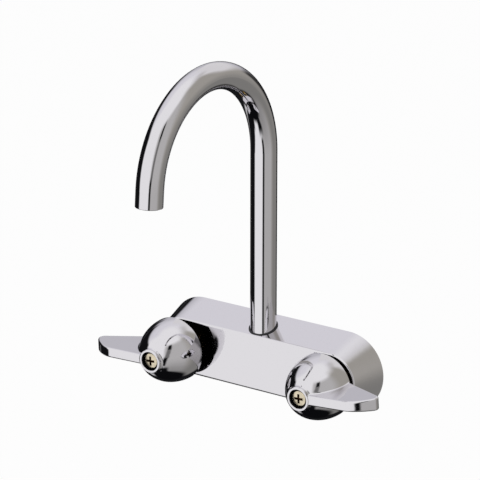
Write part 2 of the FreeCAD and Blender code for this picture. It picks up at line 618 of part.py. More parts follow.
def on_dome(point):
    """Whether a point lies on the outside of a handle's dome."""
    radius = math.hypot(point.x, point.z) / DOME_R
    depth = (-point.y - HANDLE_SKIRT_DEPTH) / DOME_HEIGHT
    return abs(math.hypot(radius, depth) - 1) < 1e-3


def handle(x, clock):
    """One handle casting, turned about its valve axis to where its lever stands when the valve is shut."""
    outside = canopy()
    outside = outside.fuse(lever())
    roots = [e for e in outside.Edges if e.BoundBox.XMin > 0 and e.BoundBox.YLength > LEVER_BLEND_R
             and all(on_dome(v) for v in e.discretize(7))]
    outside = outside.makeFillet(LEVER_BLEND_R, roots)
    hollow = dome(DOME_R - DOME_WALL, DOME_HEIGHT - DOME_WALL, HANDLE_SKIRT_DEPTH)
    hub = rod(0, 0, HUB_R, HUB_START_DEPTH, HANDLE_FRONT_DEPTH)
    piece = outside.cut(hollow.cut(hub))
    recess = turned(0, [(0, SCREW_SEAT_DEPTH), (RECESS_R, SCREW_SEAT_DEPTH),
                        (RECESS_R, HANDLE_FRONT_DEPTH - BOSS_RIM_CHAMFER),
                        (RECESS_R + BOSS_RIM_CHAMFER, HANDLE_FRONT_DEPTH), (0, HANDLE_FRONT_DEPTH)])
    piece = piece.cut([
        recess,
        broach(0, 0, SLIP, HUB_START_DEPTH, SOCKET_END_DEPTH),
        rod(0, 0, HANDLE_SCREW_R + LOOSE, SOCKET_END_DEPTH, SCREW_SEAT_DEPTH),
    ])
    piece.rotate(V(0, 0, 0), V(0, -1, 0), clock)
    piece.translate(V(x, 0, 0))
    return piece


def handle_screw(x, clock):
    """A pan-head screw with a cross recess, seated in the handle's boss."""
    front = SCREW_SEAT_DEPTH + HANDLE_SCREW_HEAD
    head = rod(0, 0, HANDLE_SCREW_HEAD_R, SCREW_SEAT_DEPTH, front)
    crown = dome(HANDLE_SCREW_HEAD_R, HANDLE_SCREW_CROWN, front)
    screw = head.fuse([crown, rod(0, 0, HANDLE_SCREW_R, SCREW_SEAT_DEPTH - HANDLE_SCREW_LENGTH, SCREW_SEAT_DEPTH)])
    top = front + HANDLE_SCREW_CROWN
    for along, across in ((CROSS_LENGTH, CROSS_WIDTH), (CROSS_WIDTH, CROSS_LENGTH)):
        screw = screw.cut(Part.makeBox(along, CROSS_SINK, across, V(-along / 2, -top, -across / 2)))
    screw.rotate(V(0, 0, 0), V(0, -1, 0), clock)
    screw.translate(V(x, 0, 0))
    return screw


SIDES = (("hot", HOT_X, -SUPPLY_X, HOT_CLOCK), ("cold", COLD_X, SUPPLY_X, COLD_CLOCK))
VALVE_PIECES = (seat, bonnet_gasket, bonnet, cover_nut, packing, packing_nut, washer_holder, seat_washer,
                washer_screw)


def all_pieces():
    """Every node of the model, by name."""
    pieces = {
        "body_cover": body_cover(),
        "valve_body": valve_body(),
        "spout_tube": spout_tube(),
        "spout_base_ring": spout_base_ring(),
        "spout_tailpiece": spout_tailpiece(),
        "spout_seal": spout_seal(),
        "wall_gaskets": on_both_shanks(wall_gasket),
        "wall_washers": on_both_shanks(wall_washer),
        "locknuts": on_both_shanks(locknut),
    }
    for side, x, supply_x, clock in SIDES:
        for make in VALVE_PIECES:
            pieces[side + "_" + make.__name__] = make(x)
        pieces[side + "_supply_shank"] = supply_shank(supply_x)
        pieces[side + "_stem"] = stem(x, clock)
        pieces[side + "_handle"] = handle(x, clock)
        pieces[side + "_handle_screw"] = handle_screw(x, clock)
    return pieces


os.makedirs("parts", exist_ok=True)
for name, shape in all_pieces().items():
    shape.exportStep("parts/" + name + ".step")
    kinds = "valid" if shape.isValid() else "NOT VALID"
    print(name, kinds, "solids", len(shape.Solids), "volume", round(shape.Volume, 1))
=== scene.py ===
"""Finishes, threads, studio and camera for a wall-mounted bath faucet with two lever handles."""

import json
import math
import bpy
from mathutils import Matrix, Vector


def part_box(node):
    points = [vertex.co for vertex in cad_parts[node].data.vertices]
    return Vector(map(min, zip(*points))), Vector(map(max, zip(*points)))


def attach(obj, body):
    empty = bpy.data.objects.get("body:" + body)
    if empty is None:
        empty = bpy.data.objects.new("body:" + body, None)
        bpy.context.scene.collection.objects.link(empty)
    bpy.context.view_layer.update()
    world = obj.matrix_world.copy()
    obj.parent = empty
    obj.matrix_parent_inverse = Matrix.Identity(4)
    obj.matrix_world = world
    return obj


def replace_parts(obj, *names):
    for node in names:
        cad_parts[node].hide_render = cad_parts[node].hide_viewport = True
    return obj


bl_info = {
    "name": "Bath Faucet Dressing",
    "version": (1, 0, 0),
    "blender": (4, 5, 0),
    "location": "3D View > Sidebar > Faucet",
    "description": "Dresses the packed faucet with its finishes, threads and studio",
    "category": "Object",
}

import bmesh
import bpy
from bpy.props import FloatProperty, FloatVectorProperty, IntProperty, PointerProperty
from bpy.types import Operator, Panel, PropertyGroup
from mathutils import Vector

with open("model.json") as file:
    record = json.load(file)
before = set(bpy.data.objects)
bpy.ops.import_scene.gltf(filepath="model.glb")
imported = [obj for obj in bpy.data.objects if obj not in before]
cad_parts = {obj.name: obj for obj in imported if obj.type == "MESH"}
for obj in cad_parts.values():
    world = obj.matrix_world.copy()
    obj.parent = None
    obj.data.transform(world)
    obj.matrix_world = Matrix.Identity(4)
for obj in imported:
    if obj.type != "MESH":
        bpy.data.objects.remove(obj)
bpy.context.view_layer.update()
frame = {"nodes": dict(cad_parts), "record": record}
MM = 0.001
SIDES = ("hot", "cold")
HEADING = math.radians(34.4445)  # The photograph's azimuth, which the camera and the studio's cards share.


def linear(hex_colour):
    """The linear red, green and blue of an sRGB hex colour."""
    shares = [int(hex_colour[i:i + 2], 16) / 255 for i in (1, 3, 5)]
    return tuple(s / 12.92 if s <= 0.04045 else ((s + 0.055) / 1.055) ** 2.4 for s in shares)


def colour(name, description, hex_colour):
    """A colour property whose default is an sRGB hex value."""
    return FloatVectorProperty(name=name, description=description, default=linear(hex_colour),
                               subtype="COLOR", size=3, min=0.0, max=1.0)


def length(name, description, default):
    """A length property in metres."""
    return FloatProperty(name=name, description=description, default=default, min=0.0,
                         subtype="DISTANCE", unit="LENGTH", precision=5)


class FaucetFinishes(PropertyGroup):
    """Colours of the faucet's metals and rubbers."""

    chrome: colour("Chrome", "Colour of the bright chromium plate", "#DDDBDF")
    screw_brass: colour("Screw brass", "Colour of the handle screws' pale brass", "#E4D8BE")
    # Painted shade: the dark brown of a screw's cross recess stands in for the shade inside it.
    recess_painted_shade: colour("Recess brown", "Colour of the grease and dirt in a screw's cross recess", "#452C17")
    turned_brass: colour("Turned brass", "Colour of lathe-turned fittings", "#D8BC78")
    # Painted shade: this dark brass stands in for the shade on the nuts, bonnets and stems under the handle
    # domes.
    dull_brass: colour("Dull brass", "Colour of the greased nuts and bonnets behind the handles", "#4E4230")
    cast_brass: colour("Cast brass", "Colour of the rough valve casting", "#B99A5C")
    # Partly painted shade: the hollow under each dome is unplated casting, but its near-black tone stands in
    # for the shade there and in the screw's well.
    bare_zinc_and_shade: colour("Bare zinc", "Colour of the unplated hollow of a handle", "#2A2A2C")
    rubber: colour("Rubber", "Colour of the bush, seals and washers", "#17171A")
    graphite: colour("Graphite", "Colour of the stem packing", "#3A3B3E")
    zinc: colour("Zinc", "Colour of the zinc-plated washers", "#B4B8BD")


class FaucetThreads(PropertyGroup):
    """Sizes of the external threads on the supply shanks."""

    pitch: length("Pitch", "Distance from one thread crest to the next", 1.814 * MM)
    depth: length("Depth", "Height of a thread from root to crest", 0.95 * MM)
    steps: IntProperty(name="Steps round", description="Points round one turn of a thread",
                       default=60, min=24, max=256)


class FaucetStudio(PropertyGroup):
    """Camera place, floor and lamp."""

    distance: length("Camera distance", "From the camera to the point it was fitted on", 1.85)
    azimuth: FloatProperty(name="Azimuth", description="Turn of the camera round the faucet",
                           default=HEADING, subtype="ANGLE", unit="ROTATION")
    elevation: FloatProperty(name="Elevation", description="Height of the camera above the horizon",
                             default=math.radians(18.4292), subtype="ANGLE", unit="ROTATION")
    floor_drop: length("Floor drop", "Height of the valve axes above the floor", 0.62)
    key_power: FloatProperty(name="Key power", description="Power of the large upper lamp",
                             default=14.0, min=0.0, unit="POWER")


def settings():
    """The faucet's colours as the sidebar has them."""
    return bpy.context.scene.faucet_finishes


def add_node(tree, kind, inputs=None, **properties):
    """Adds a node, sets its properties, and fills its inputs with values or with other nodes' outputs."""
    made = tree.nodes.new(kind)
    for name, value in properties.items():
        setattr(made, name, value)
    for key, value in (inputs or {}).items():
        if isinstance(value, bpy.types.NodeSocket):
            tree.links.new(value, made.inputs[key])
        else:
            made.inputs[key].default_value = value
    return made


# A Mix node has sockets of the same name for each kind of data, so they are reached by number.
MIX_SHARE = 0
NUMBER_A, NUMBER_B, NUMBER_OUT = 2, 3, 0
COLOUR_A, COLOUR_B, COLOUR_OUT = 6, 7, 2

# Nearly all of a noise texture's values lie in this range.
NOISE_RANGE = {"From Min": 0.3, "From Max": 0.7}


def rgba(values):
    """A colour without transparency, as a colour socket takes it."""
    return (*values, 1.0)


def shade_of(values, share):
    """A darker or a lighter shade of a colour, held within white."""
    return [min(1.0, value * share) for value in values]


def wave_scale(spacing):
    """The scale that sets a wave texture's bands a spacing apart, as it turns 20 radians in each unit."""
    return 2 * math.pi / (20 * spacing)


def new_material(name):
    """An empty node material with its output node."""
    material = bpy.data.materials.new(name)
    material.use_nodes = True
    material.node_tree.nodes.clear()
    output = add_node(material.node_tree, "ShaderNodeOutputMaterial")
    return material, material.node_tree, output


def lay_finish(tree, output, tone, roughness, relief, strength, height, metallic=1.0):
    """Joins a colour, a roughness and a relief pattern with its strength and height to the output."""
    bump = add_node(tree, "ShaderNodeBump", {"Strength": strength, "Distance": height, "Height": relief})
    shader = add_node(tree, "ShaderNodeBsdfPrincipled", {
        "Base Color": tone, "Metallic": metallic, "Roughness": roughness, "Normal": bump.outputs["Normal"]})
    tree.links.new(shader.outputs["BSDF"], output.inputs["Surface"])
    return shader


def cloudy_skin(tree, size, detail, fineness, tones, roughness):
    """Clouds of a real size in metres, and the colour and the roughness that drift with them."""
    place = add_node(tree, "ShaderNodeTexCoord").outputs["Object"]
    clouds = add_node(tree, "ShaderNodeTexNoise", {
        "Vector": place, "Scale": 1 / size, "Detail": detail, "Roughness": fineness}).outputs["Fac"]
    share = add_node(tree, "ShaderNodeMapRange", {"Value": clouds, **NOISE_RANGE}).outputs["Result"]
    tone = add_node(tree, "ShaderNodeMix", {
        MIX_SHARE: share, COLOUR_A: rgba(tones[0]), COLOUR_B: rgba(tones[1])}, data_type="RGBA")
    rough = add_node(tree, "ShaderNodeMapRange", {
        "Value": clouds, **NOISE_RANGE, "To Min": roughness[0], "To Max": roughness[1]})
    return clouds, tone.outputs[COLOUR_OUT], rough.outputs["Result"]


BUFFING_PATCH = 14 * MM
BUFFING_SWAY = 22 * MM
BUFFED_ROUGHNESS = (0.035, 0.075)


def buffed_roughness(tree):
    """Roughness of the buffed plate: nearly a mirror, a hair softer in patches where the buff worked less."""
    place = add_node(tree, "ShaderNodeTexCoord").outputs["Object"]
    haze = add_node(tree, "ShaderNodeTexNoise", {"Vector": place, "Scale": 1 / BUFFING_PATCH, "Detail": 3.0})
    return add_node(tree, "ShaderNodeMapRange", {
        "Value": haze.outputs["Fac"], **NOISE_RANGE,
        "To Min": BUFFED_ROUGHNESS[0], "To Max": BUFFED_ROUGHNESS[1]}).outputs["Result"]


def polished_chrome():
    """Decorative chromium over nickel, buffed and plated: a mirror with a trace of buffing sway.

    The eye gets sharp black and white reflections, a hair softer where the buff worked less."""
    material, tree, output = new_material("polished_chromium_plate")
    place = add_node(tree, "ShaderNodeTexCoord").outputs["Object"]
    sway = add_node(tree, "ShaderNodeTexNoise", {"Vector": place, "Scale": 1 / BUFFING_SWAY, "Detail": 1.0})
    lay_finish(tree, output, rgba(settings().chrome), buffed_roughness(tree), sway.outputs["Fac"],
               strength=0.12, height=0.05 * MM)
    return material


HANDLE_LOW, HANDLE_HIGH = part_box("cold_handle")
BONNET_LOW, BONNET_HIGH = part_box("cold_bonnet")
VALVE_X = (BONNET_LOW.x + BONNET_HIGH.x) / 2
SKIRT_DEPTH = -HANDLE_HIGH.y
PLATED_SHELL = 1.0 * MM
HOLLOW_R = (HANDLE_HIGH.z - HANDLE_LOW.z) / 2 - PLATED_SHELL
HOLLOW_DEPTH = HANDLE_HIGH.y - HANDLE_LOW.y - PLATED_SHELL
WELL_R = 7.0 * MM
CASTING_GRAIN = 0.9 * MM
CASTING_ROUGHNESS = 0.6


def unplated_and_shaded_casting(tree):
    """One in the hollow of either handle's dome and in its screw's well, which take the dark unplated tone
    with its painted shade, nothing on the plated outside.
    """
    place = add_node(tree, "ShaderNodeTexCoord").outputs["Object"]
    # The hot handle is folded onto the cold one, and a depth in front of the wall counts as positive.
    folded = add_node(tree, "ShaderNodeVectorMath", {0: place}, operation="ABSOLUTE").outputs["Vector"]
    centred = add_node(tree, "ShaderNodeVectorMath", {0: folded, 1: (VALVE_X, SKIRT_DEPTH, 0.0)},
                       operation="SUBTRACT").outputs["Vector"]
    in_hollows = add_node(tree, "ShaderNodeVectorMath", {0: centred, 1: (HOLLOW_R, HOLLOW_DEPTH, HOLLOW_R)},
                          operation="DIVIDE").outputs["Vector"]
    out = add_node(tree, "ShaderNodeVectorMath", {0: in_hollows}, operation="LENGTH").outputs["Value"]
    under_dome = add_node(tree, "ShaderNodeMath", {0: out, 1: 1.0}, operation="LESS_THAN").outputs[0]
    across = add_node(tree, "ShaderNodeVectorMath", {0: centred, 1: (1.0, 0.0, 1.0)},
                      operation="MULTIPLY").outputs["Vector"]
    from_axis = add_node(tree, "ShaderNodeVectorMath", {0: across}, operation="LENGTH").outputs["Value"]
    in_well = add_node(tree, "ShaderNodeMath", {0: from_axis, 1: WELL_R}, operation="LESS_THAN").outputs[0]
    return add_node(tree, "ShaderNodeMath", {0: under_dome, 1: in_well}, operation="MAXIMUM").outputs[0]


def plated_handle():
    """A zinc die casting, chromium-plated outside and left as cast in the hollow of its dome.

    The eye gets the same mirror as on the cover, and a dark, grainy grey under the skirt and in the well,
    where the unplated casting is darkened further as painted shade."""
    material, tree, output = new_material("plated_zinc_die_casting")
    unplated_and_shaded = unplated_and_shaded_casting(tree)
    # The dark tone under the dome and in the well is partly unplated casting and partly painted shade.
    tone = add_node(tree, "ShaderNodeMix", {
        MIX_SHARE: unplated_and_shaded, COLOUR_A: rgba(settings().chrome), COLOUR_B: rgba(settings().bare_zinc_and_shade)},
        data_type="RGBA").outputs[COLOUR_OUT]
    rough = add_node(tree, "ShaderNodeMix", {
        MIX_SHARE: unplated_and_shaded, NUMBER_A: buffed_roughness(tree), NUMBER_B: CASTING_ROUGHNESS}).outputs[NUMBER_OUT]
    place = add_node(tree, "ShaderNodeTexCoord").outputs["Object"]
    grain = add_node(tree, "ShaderNodeTexNoise", {"Vector": place, "Scale": 1 / CASTING_GRAIN, "Detail": 3.0})
    lay_finish(tree, output, tone, rough, grain.outputs["Fac"], strength=unplated_and_shaded, height=0.1 * MM)
    return material


SCREW_FACE_DEPTH = -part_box("cold_handle_screw")[0].y
CROSS_LENGTH = 6.9 * MM
CROSS_WIDTH = 1.8 * MM
CROSS_DEPTH = 2.2 * MM
CROSS_TURN = math.radians(3.4)
RECESS_ROUGHNESS = 0.6


def cross_recess(tree):
    """One inside the cross recess of either handle screw, where the painted shade goes, nothing elsewhere, by
    place on the faucet.
    """
    place = add_node(tree, "ShaderNodeTexCoord").outputs["Object"]
    side = add_node(tree, "ShaderNodeVectorMath", {0: place}, operation="SIGN").outputs["Vector"]
    axis = add_node(tree, "ShaderNodeVectorMath", {0: side, 1: (VALVE_X, 0.0, 0.0)},
                    operation="MULTIPLY").outputs["Vector"]
    centred = add_node(tree, "ShaderNodeVectorMath", {0: place, 1: axis},
                       operation="SUBTRACT").outputs["Vector"]
    turned = add_node(tree, "ShaderNodeVectorRotate", {"Vector": centred, "Angle": CROSS_TURN},
                      rotation_type="Y_AXIS").outputs["Vector"]
    folded = add_node(tree, "ShaderNodeVectorMath", {0: turned}, operation="ABSOLUTE").outputs["Vector"]
    away = add_node(tree, "ShaderNodeSeparateXYZ", {0: folded}).outputs
    # On the cross, the longer of the two distances stays in an arm's length, the shorter in its width.
    longer = add_node(tree, "ShaderNodeMath", {0: away["X"], 1: away["Z"]}, operation="MAXIMUM").outputs[0]
    shorter = add_node(tree, "ShaderNodeMath", {0: away["X"], 1: away["Z"]}, operation="MINIMUM").outputs[0]
    in_length = add_node(tree, "ShaderNodeMath", {0: longer, 1: CROSS_LENGTH / 2}, operation="LESS_THAN")
    in_width = add_node(tree, "ShaderNodeMath", {0: shorter, 1: CROSS_WIDTH / 2}, operation="LESS_THAN")
    in_depth = add_node(tree, "ShaderNodeMath", {0: away["Y"], 1: SCREW_FACE_DEPTH - CROSS_DEPTH},
                        operation="GREATER_THAN")
    on_cross = add_node(tree, "ShaderNodeMath", {0: in_length.outputs[0], 1: in_width.outputs[0]},
                        operation="MULTIPLY")
    return add_node(tree, "ShaderNodeMath", {0: on_cross.outputs[0], 1: in_depth.outputs[0]},
                    operation="MULTIPLY").outputs[0]


def screw_brass():
    """A pan-head screw of pale brass, its face turned and polished, its driver recess painted dark for the
    shade inside it.

    The eye gets a cream-yellow button with a dark brown cross of painted shade."""
    material, tree, output = new_material("polished_screw_brass")
    base = settings().screw_brass
    stain, face, polish = cloudy_skin(tree, size=3 * MM, detail=4.0, fineness=0.5,
                                      tones=(base, shade_of(base, 0.72)), roughness=(0.12, 0.24))
    recess = cross_recess(tree)
    # The cross recess takes the dark brown of its painted shade.
    tone = add_node(tree, "ShaderNodeMix", {
        MIX_SHARE: recess, COLOUR_A: face, COLOUR_B: rgba(settings().recess_painted_shade)},
        data_type="RGBA").outputs[COLOUR_OUT]
    rough = add_node(tree, "ShaderNodeMix", {
        MIX_SHARE: recess, NUMBER_A: polish, NUMBER_B: RECESS_ROUGHNESS}).outputs[NUMBER_OUT]
    lay_finish(tree, output, tone, rough, stain, strength=0.3, height=0.02 * MM)
    return material


TURNING_RINGS = 1.2 * MM


def lathe_brass(name, base, roughness, ridge):
    """Brass turned on a lathe: fine rings round the part, and a light stain.

    The eye gets a warm satin metal whose highlight is drawn out round the turning. A tool's own rings, a few
    tenths of a millimetre apart, are too fine to show here, so they are drawn coarser."""
    material, tree, output = new_material(name)
    place = add_node(tree, "ShaderNodeTexCoord").outputs["Object"]
    rings = add_node(tree, "ShaderNodeTexWave", {
        "Vector": place, "Scale": wave_scale(TURNING_RINGS), "Distortion": 0.4, "Detail": 1.0},
        wave_type="BANDS", bands_direction="Y").outputs["Fac"]
    _, tone, rough = cloudy_skin(tree, size=5 * MM, detail=4.0, fineness=0.5,
                                 tones=(base, shade_of(base, 0.78)), roughness=roughness)
    lay_finish(tree, output, tone, rough, rings, strength=0.35, height=ridge)
    return material


def turned_brass():
    """Clean turned fittings. The eye gets a bright yellow metal."""
    return lathe_brass("lathe_turned_brass", settings().turned_brass, roughness=(0.2, 0.34), ridge=0.03 * MM)


def shade_darkened_brass():
    """Nuts, bonnets and stems under the handle domes, darkened with painted shade. The eye gets a dull brown
    metal, nearly black in shade.
    """
    return lathe_brass("greased_turned_brass", settings().dull_brass, roughness=(0.4, 0.55), ridge=0.02 * MM)


SAND_GRAIN = 0.6 * MM


def cast_brass():
    """Brass as it leaves the sand mould: grains of about half a millimetre and a dull oxide skin.

    The eye gets a rough, brown-gold surface with no clear reflection."""
    material, tree, output = new_material("sand_cast_brass")
    base = settings().cast_brass
    _, tone, rough = cloudy_skin(tree, size=9 * MM, detail=4.0, fineness=0.6,
                                 tones=(base, shade_of(base, 0.6)), roughness=(0.42, 0.6))
    place = add_node(tree, "ShaderNodeTexCoord").outputs["Object"]
    grain = add_node(tree, "ShaderNodeTexNoise", {
        "Vector": place, "Scale": 1 / SAND_GRAIN, "Detail": 3.0, "Roughness": 0.6}).outputs["Fac"]
    lay_finish(tree, output, tone, rough, grain, strength=0.8, height=0.15 * MM)
    return material


RUBBER_IOR = 1.5


def moulded_rubber():
    """Nitrile rubber, press-moulded: near-black with a fine bloom.

    The eye gets a matt dark line with a soft grey sheen on its rounded edge."""
    material, tree, output = new_material("moulded_nitrile_rubber")
    base = settings().rubber
    bloom, tone, rough = cloudy_skin(tree, size=1.2 * MM, detail=4.0, fineness=0.7,
                                     tones=(base, shade_of(base, 2.2)), roughness=(0.45, 0.62))
    shader = lay_finish(tree, output, tone, rough, bloom, strength=0.3, height=0.04 * MM, metallic=0.0)
    shader.inputs["IOR"].default_value = RUBBER_IOR
    return material


YARN_SPACING = 1.1 * MM


def braided_graphite():
    """Graphite yarn pressed into a gland: dark grey, slightly silvery on the strand crests.

    The eye gets a crossing braid with a dull metallic shine."""
    material, tree, output = new_material("braided_graphite_packing")
    place = add_node(tree, "ShaderNodeTexCoord").outputs["Object"]
    strands = [add_node(tree, "ShaderNodeTexWave", {
        "Vector": place, "Scale": wave_scale(YARN_SPACING), "Distortion": 1.0},
        wave_type="BANDS", bands_direction=way).outputs["Fac"] for way in ("DIAGONAL", "Y")]
    braid = add_node(tree, "ShaderNodeMath", {0: strands[0], 1: strands[1]}, operation="MAXIMUM").outputs[0]
    base = settings().graphite
    tone = add_node(tree, "ShaderNodeMix", {
        MIX_SHARE: braid, COLOUR_A: rgba(shade_of(base, 0.5)), COLOUR_B: rgba(base)},
        data_type="RGBA").outputs[COLOUR_OUT]
    rough = add_node(tree, "ShaderNodeMapRange", {
        "Value": braid, "To Min": 0.6, "To Max": 0.42}).outputs["Result"]
    lay_finish(tree, output, tone, rough, braid, strength=0.6, height=0.2 * MM, metallic=0.3)
    return material


def zinc_plate():
    """Pressed steel with bright zinc plate: bluish grey with faint cloudy patches from the bath.

    The eye gets a half-dull metal between chrome and grey paint."""
    material, tree, output = new_material("zinc_plated_steel")
    base = settings().zinc
    cloud, tone, rough = cloudy_skin(tree, size=4 * MM, detail=5.0, fineness=0.6,
                                     tones=(base, shade_of(base, 0.72)), roughness=(0.28, 0.46))
    lay_finish(tree, output, tone, rough, cloud, strength=0.2, height=0.05 * MM)
    return material


MAKERS = {
    "polished_chrome": polished_chrome,
    "plated_handle": plated_handle,
    "dull_brass": shade_darkened_brass,
    "cast_brass": cast_brass,
    "turned_brass": turned_brass,
    "screw_brass": screw_brass,
    "black_rubber": moulded_rubber,
    "graphite_packing": braided_graphite,
    "zinc_steel": zinc_plate,
}
# Pieces, on either side, whose finish differs from the plain one of their slot.
# The bonnets, nuts and stems take the dull brass that paints the shade under the handle domes.
PIECE_FINISHES = {"handle": "plated_handle", "bonnet": "dull_brass", "cover_nut": "dull_brass",
                  "packing_nut": "dull_brass", "stem": "dull_brass"}
MADE = {}


def finish_for(name):
    """The material for one of the record's slots or for a piece's own finish, made once."""
    if name not in MAKERS:
        raise ValueError("no finish is written for " + name)
    if name not in MADE:
        MADE[name] = MAKERS[name]()
    return MADE[name]


def mesh_piece(name, form, body, slot):
    """Turns a bmesh into a piece with its finish, riding on a body."""
    bmesh.ops.recalc_face_normals(form, faces=form.faces)
    mesh = bpy.data.meshes.new(name)
    form.to_mesh(mesh)
    form.free()
    mesh.materials.append(finish_for(slot))
    piece = bpy.data.objects.new(name, mesh)
    bpy.context.scene.collection.objects.link(piece)
    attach(piece, body)
    return piece


THREAD_ROWS = 10  # Rows of points along one pitch.
# The flat root and both flanks, as shares of a pitch. The rest is the flat crest.
ROOT_SHARE, FLANK_SHARE = 0.12, 0.72
SHANK_R = 10.4 * MM
SHANK_BORE_R = 6.5 * MM
SHANK_CHAMFER = 1.2 * MM
GROOVE_R = 9.4 * MM
GROOVE_START, GROOVE_END = 25 * MM, 26 * MM
WELD_GAP = 0.002 * MM
ON_END = 0.0001 * MM


def thread_height(share):
    """Height of a pipe thread with flat crest and root, as a share of its depth, along one pitch."""
    along = abs(share % 1.0 - 0.5) * 2
    return min(1.0, max(0.0, (along - ROOT_SHARE) / FLANK_SHARE))


def threaded_outside(form, axis_x, axis_z, start, end, threads):
    """Rows of points that climb one pitch a turn, cut square at both ends, with groove and chamfer."""
    rows = math.ceil((end - start) / threads.pitch + 2) * THREAD_ROWS
    grid = []
    for row in range(rows):
        crest = thread_height(row / THREAD_ROWS)
        line = []
        for step in range(threads.steps):
            turn = 2 * math.pi * step / threads.steps
            y = start + threads.pitch * (row / THREAD_ROWS - 1 + step / threads.steps)
            inside = min(max(y, start), end)
            sunk = threads.depth * (1 - crest if start < y < end else 1.0)
            radius = SHANK_R - max(sunk, SHANK_CHAMFER - (end - inside))
            if GROOVE_START < inside < GROOVE_END:
                radius = min(radius, GROOVE_R)
            line.append(form.verts.new((axis_x + radius * math.cos(turn), inside,
                                        axis_z + radius * math.sin(turn))))
        grid.append(line)
    for row in range(rows - 1):
        for step in range(threads.steps):
            # The last step of a turn meets the first step of the row one pitch further on.
            ahead, jump = (step + 1, 0) if step + 1 < threads.steps else (0, THREAD_ROWS)
            if row + 1 + jump < rows:
                form.faces.new((grid[row][step], grid[row + 1][step], grid[row + 1 + jump][ahead],
                                grid[row + jump][ahead]))
    bmesh.ops.remove_doubles(form, verts=form.verts, dist=WELD_GAP)


def join_rings(form, first, second):
    """Closes the band between two rings of as many points."""
    for i in range(len(first)):
        j = (i + 1) % len(first)
        form.faces.new((first[i], first[j], second[j], second[i]))


def ends_and_bore(form, axis_x, axis_z, ends):
    """The shank's two flat ends and the bore between them."""
    def turn_of(vertex):
        return math.atan2(vertex.co.z - axis_z, vertex.co.x - axis_x)

    bores = []
    for y in ends:
        rim = sorted((v for v in form.verts if abs(v.co.y - y) < ON_END and v.is_boundary), key=turn_of)
        inner = [form.verts.new((axis_x + SHANK_BORE_R * math.cos(turn_of(v)), y,
                                 axis_z + SHANK_BORE_R * math.sin(turn_of(v)))) for v in rim]
        join_rings(form, rim, inner)
        bores.append(inner)
    if len(bores[0]) != len(bores[1]):
        raise ValueError("the two ends of a supply shank don't match")
    join_rings(form, bores[0], bores[1])


def threaded_shank(side, threads):
    """A supply shank with a real helical thread, a relief groove, a chamfered end and a bore."""
    node = side + "_supply_shank"
    low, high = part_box(node)
    axis_x, axis_z = (low.x + high.x) / 2, (low.z + high.z) / 2
    form = bmesh.new()
    threaded_outside(form, axis_x, axis_z, low.y, high.y, threads)
    ends_and_bore(form, axis_x, axis_z, (low.y, high.y))
    piece = mesh_piece(node + "_threaded", form, "faucet_body", "turned_brass")
    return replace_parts(piece, node)


class FAUCET_OT_finish(Operator):
    """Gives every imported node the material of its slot"""

    bl_idname = "faucet.finish"
    bl_label = "Finish the packed nodes"

    def execute(self, context):
        slots = {material["slot"] for material in frame["record"]["materials"]}
        for node in frame["nodes"].values():
            for place in node.material_slots:
                slot = place.material.name.split(".")[0]
                if slot not in slots:
                    raise ValueError("node " + node.name + " has an unknown slot " + slot)
                place.link = "OBJECT"
                place.material = finish_for(PIECE_FINISHES.get(node.name.partition("_")[2], slot))
        return {"FINISHED"}


class FAUCET_OT_shanks(Operator):
    """Builds the threaded supply shanks"""

    bl_idname = "faucet.shanks"
    bl_label = "Build the supply shanks"

    def execute(self, context):
        for side in SIDES:
            threaded_shank(side, context.scene.faucet_threads)
        return {"FINISHED"}


# The studio is white all round, and the chrome shows that white wherever no card stands before it. The
# cards are out of the camera's sight. Each has its name, then in degrees its azimuth from the heading, its
# elevation, half width, half height and soft edge, then its lean and its colour. The lean is the azimuth
# that a card gains with each degree of elevation. A card across the back is written from both its sides.
CARDS = (
    ("ceiling_back", 180, 44, 75, 18, 12, 0.0, "#EDECF1"),
    ("ceiling_back_left", -180, 44, 75, 18, 12, 0.0, "#EDECF1"),
    ("back_wash", 180, 12, 62, 20, 14, 0.0, "#CAC9CF"),
    ("back_wash_left", -180, 12, 62, 20, 14, 0.0, "#CAC9CF"),
    ("grey_flat", 62, -4, 66, 54, 8, 0.0, "#C6C5C3"),
    ("grey_flat_low", 62, -60, 62, 30, 30, 0.0, "#9A9997"),
    ("grey_flat_side", 108, 8, 36, 48, 14, 0.0, "#AEABA3"),
    ("grey_flat_turn", 122, -40, 46, 34, 20, 0.0, "#898884"),
    ("back_right_card", 150, 34, 34, 18, 8, 0.0, "#EDECEC"),
    ("low_back", 178, -42, 44, 46, 8, 0.0, "#1A1A1C"),
    ("low_back_left", -182, -42, 42, 46, 8, 0.0, "#1A1A1C"),
    ("back_left_rise", -158, 4, 10, 14, 5, 0.0, "#1A1A1C"),
    ("left_flag", -119, -16, 30, 43, 5, -0.32, "#141416"),
    ("back_spot", 144, 1, 9, 6, 4, 0.0, "#3A3938"),
    ("stand_gap_upper", 5.5, 40, 7.5, 9, 4, 0.29, "#0C0C0E"),
    ("stand_gap_middle", 5.0, 16, 7.5, 16, 4, 0.29, "#7A7978"),
    ("stand_gap_lower", 2.4, -17, 7.5, 19, 4, 0.29, "#0C0C0E"),
    ("low_front", -8, -62, 20, 20, 8, 0.0, "#101012"),
    ("low_left", -90, -64, 24, 18, 5, 0.0, "#101012"),
    ("black_below", 0, -90, 200, 30, 5, 0.0, "#0E0E10"),
)
STUDIO_LEVEL = "#BCBBC1"  # What matt surfaces get from the studio.
WHITE = (1.0, 1.0, 1.0, 1.0)


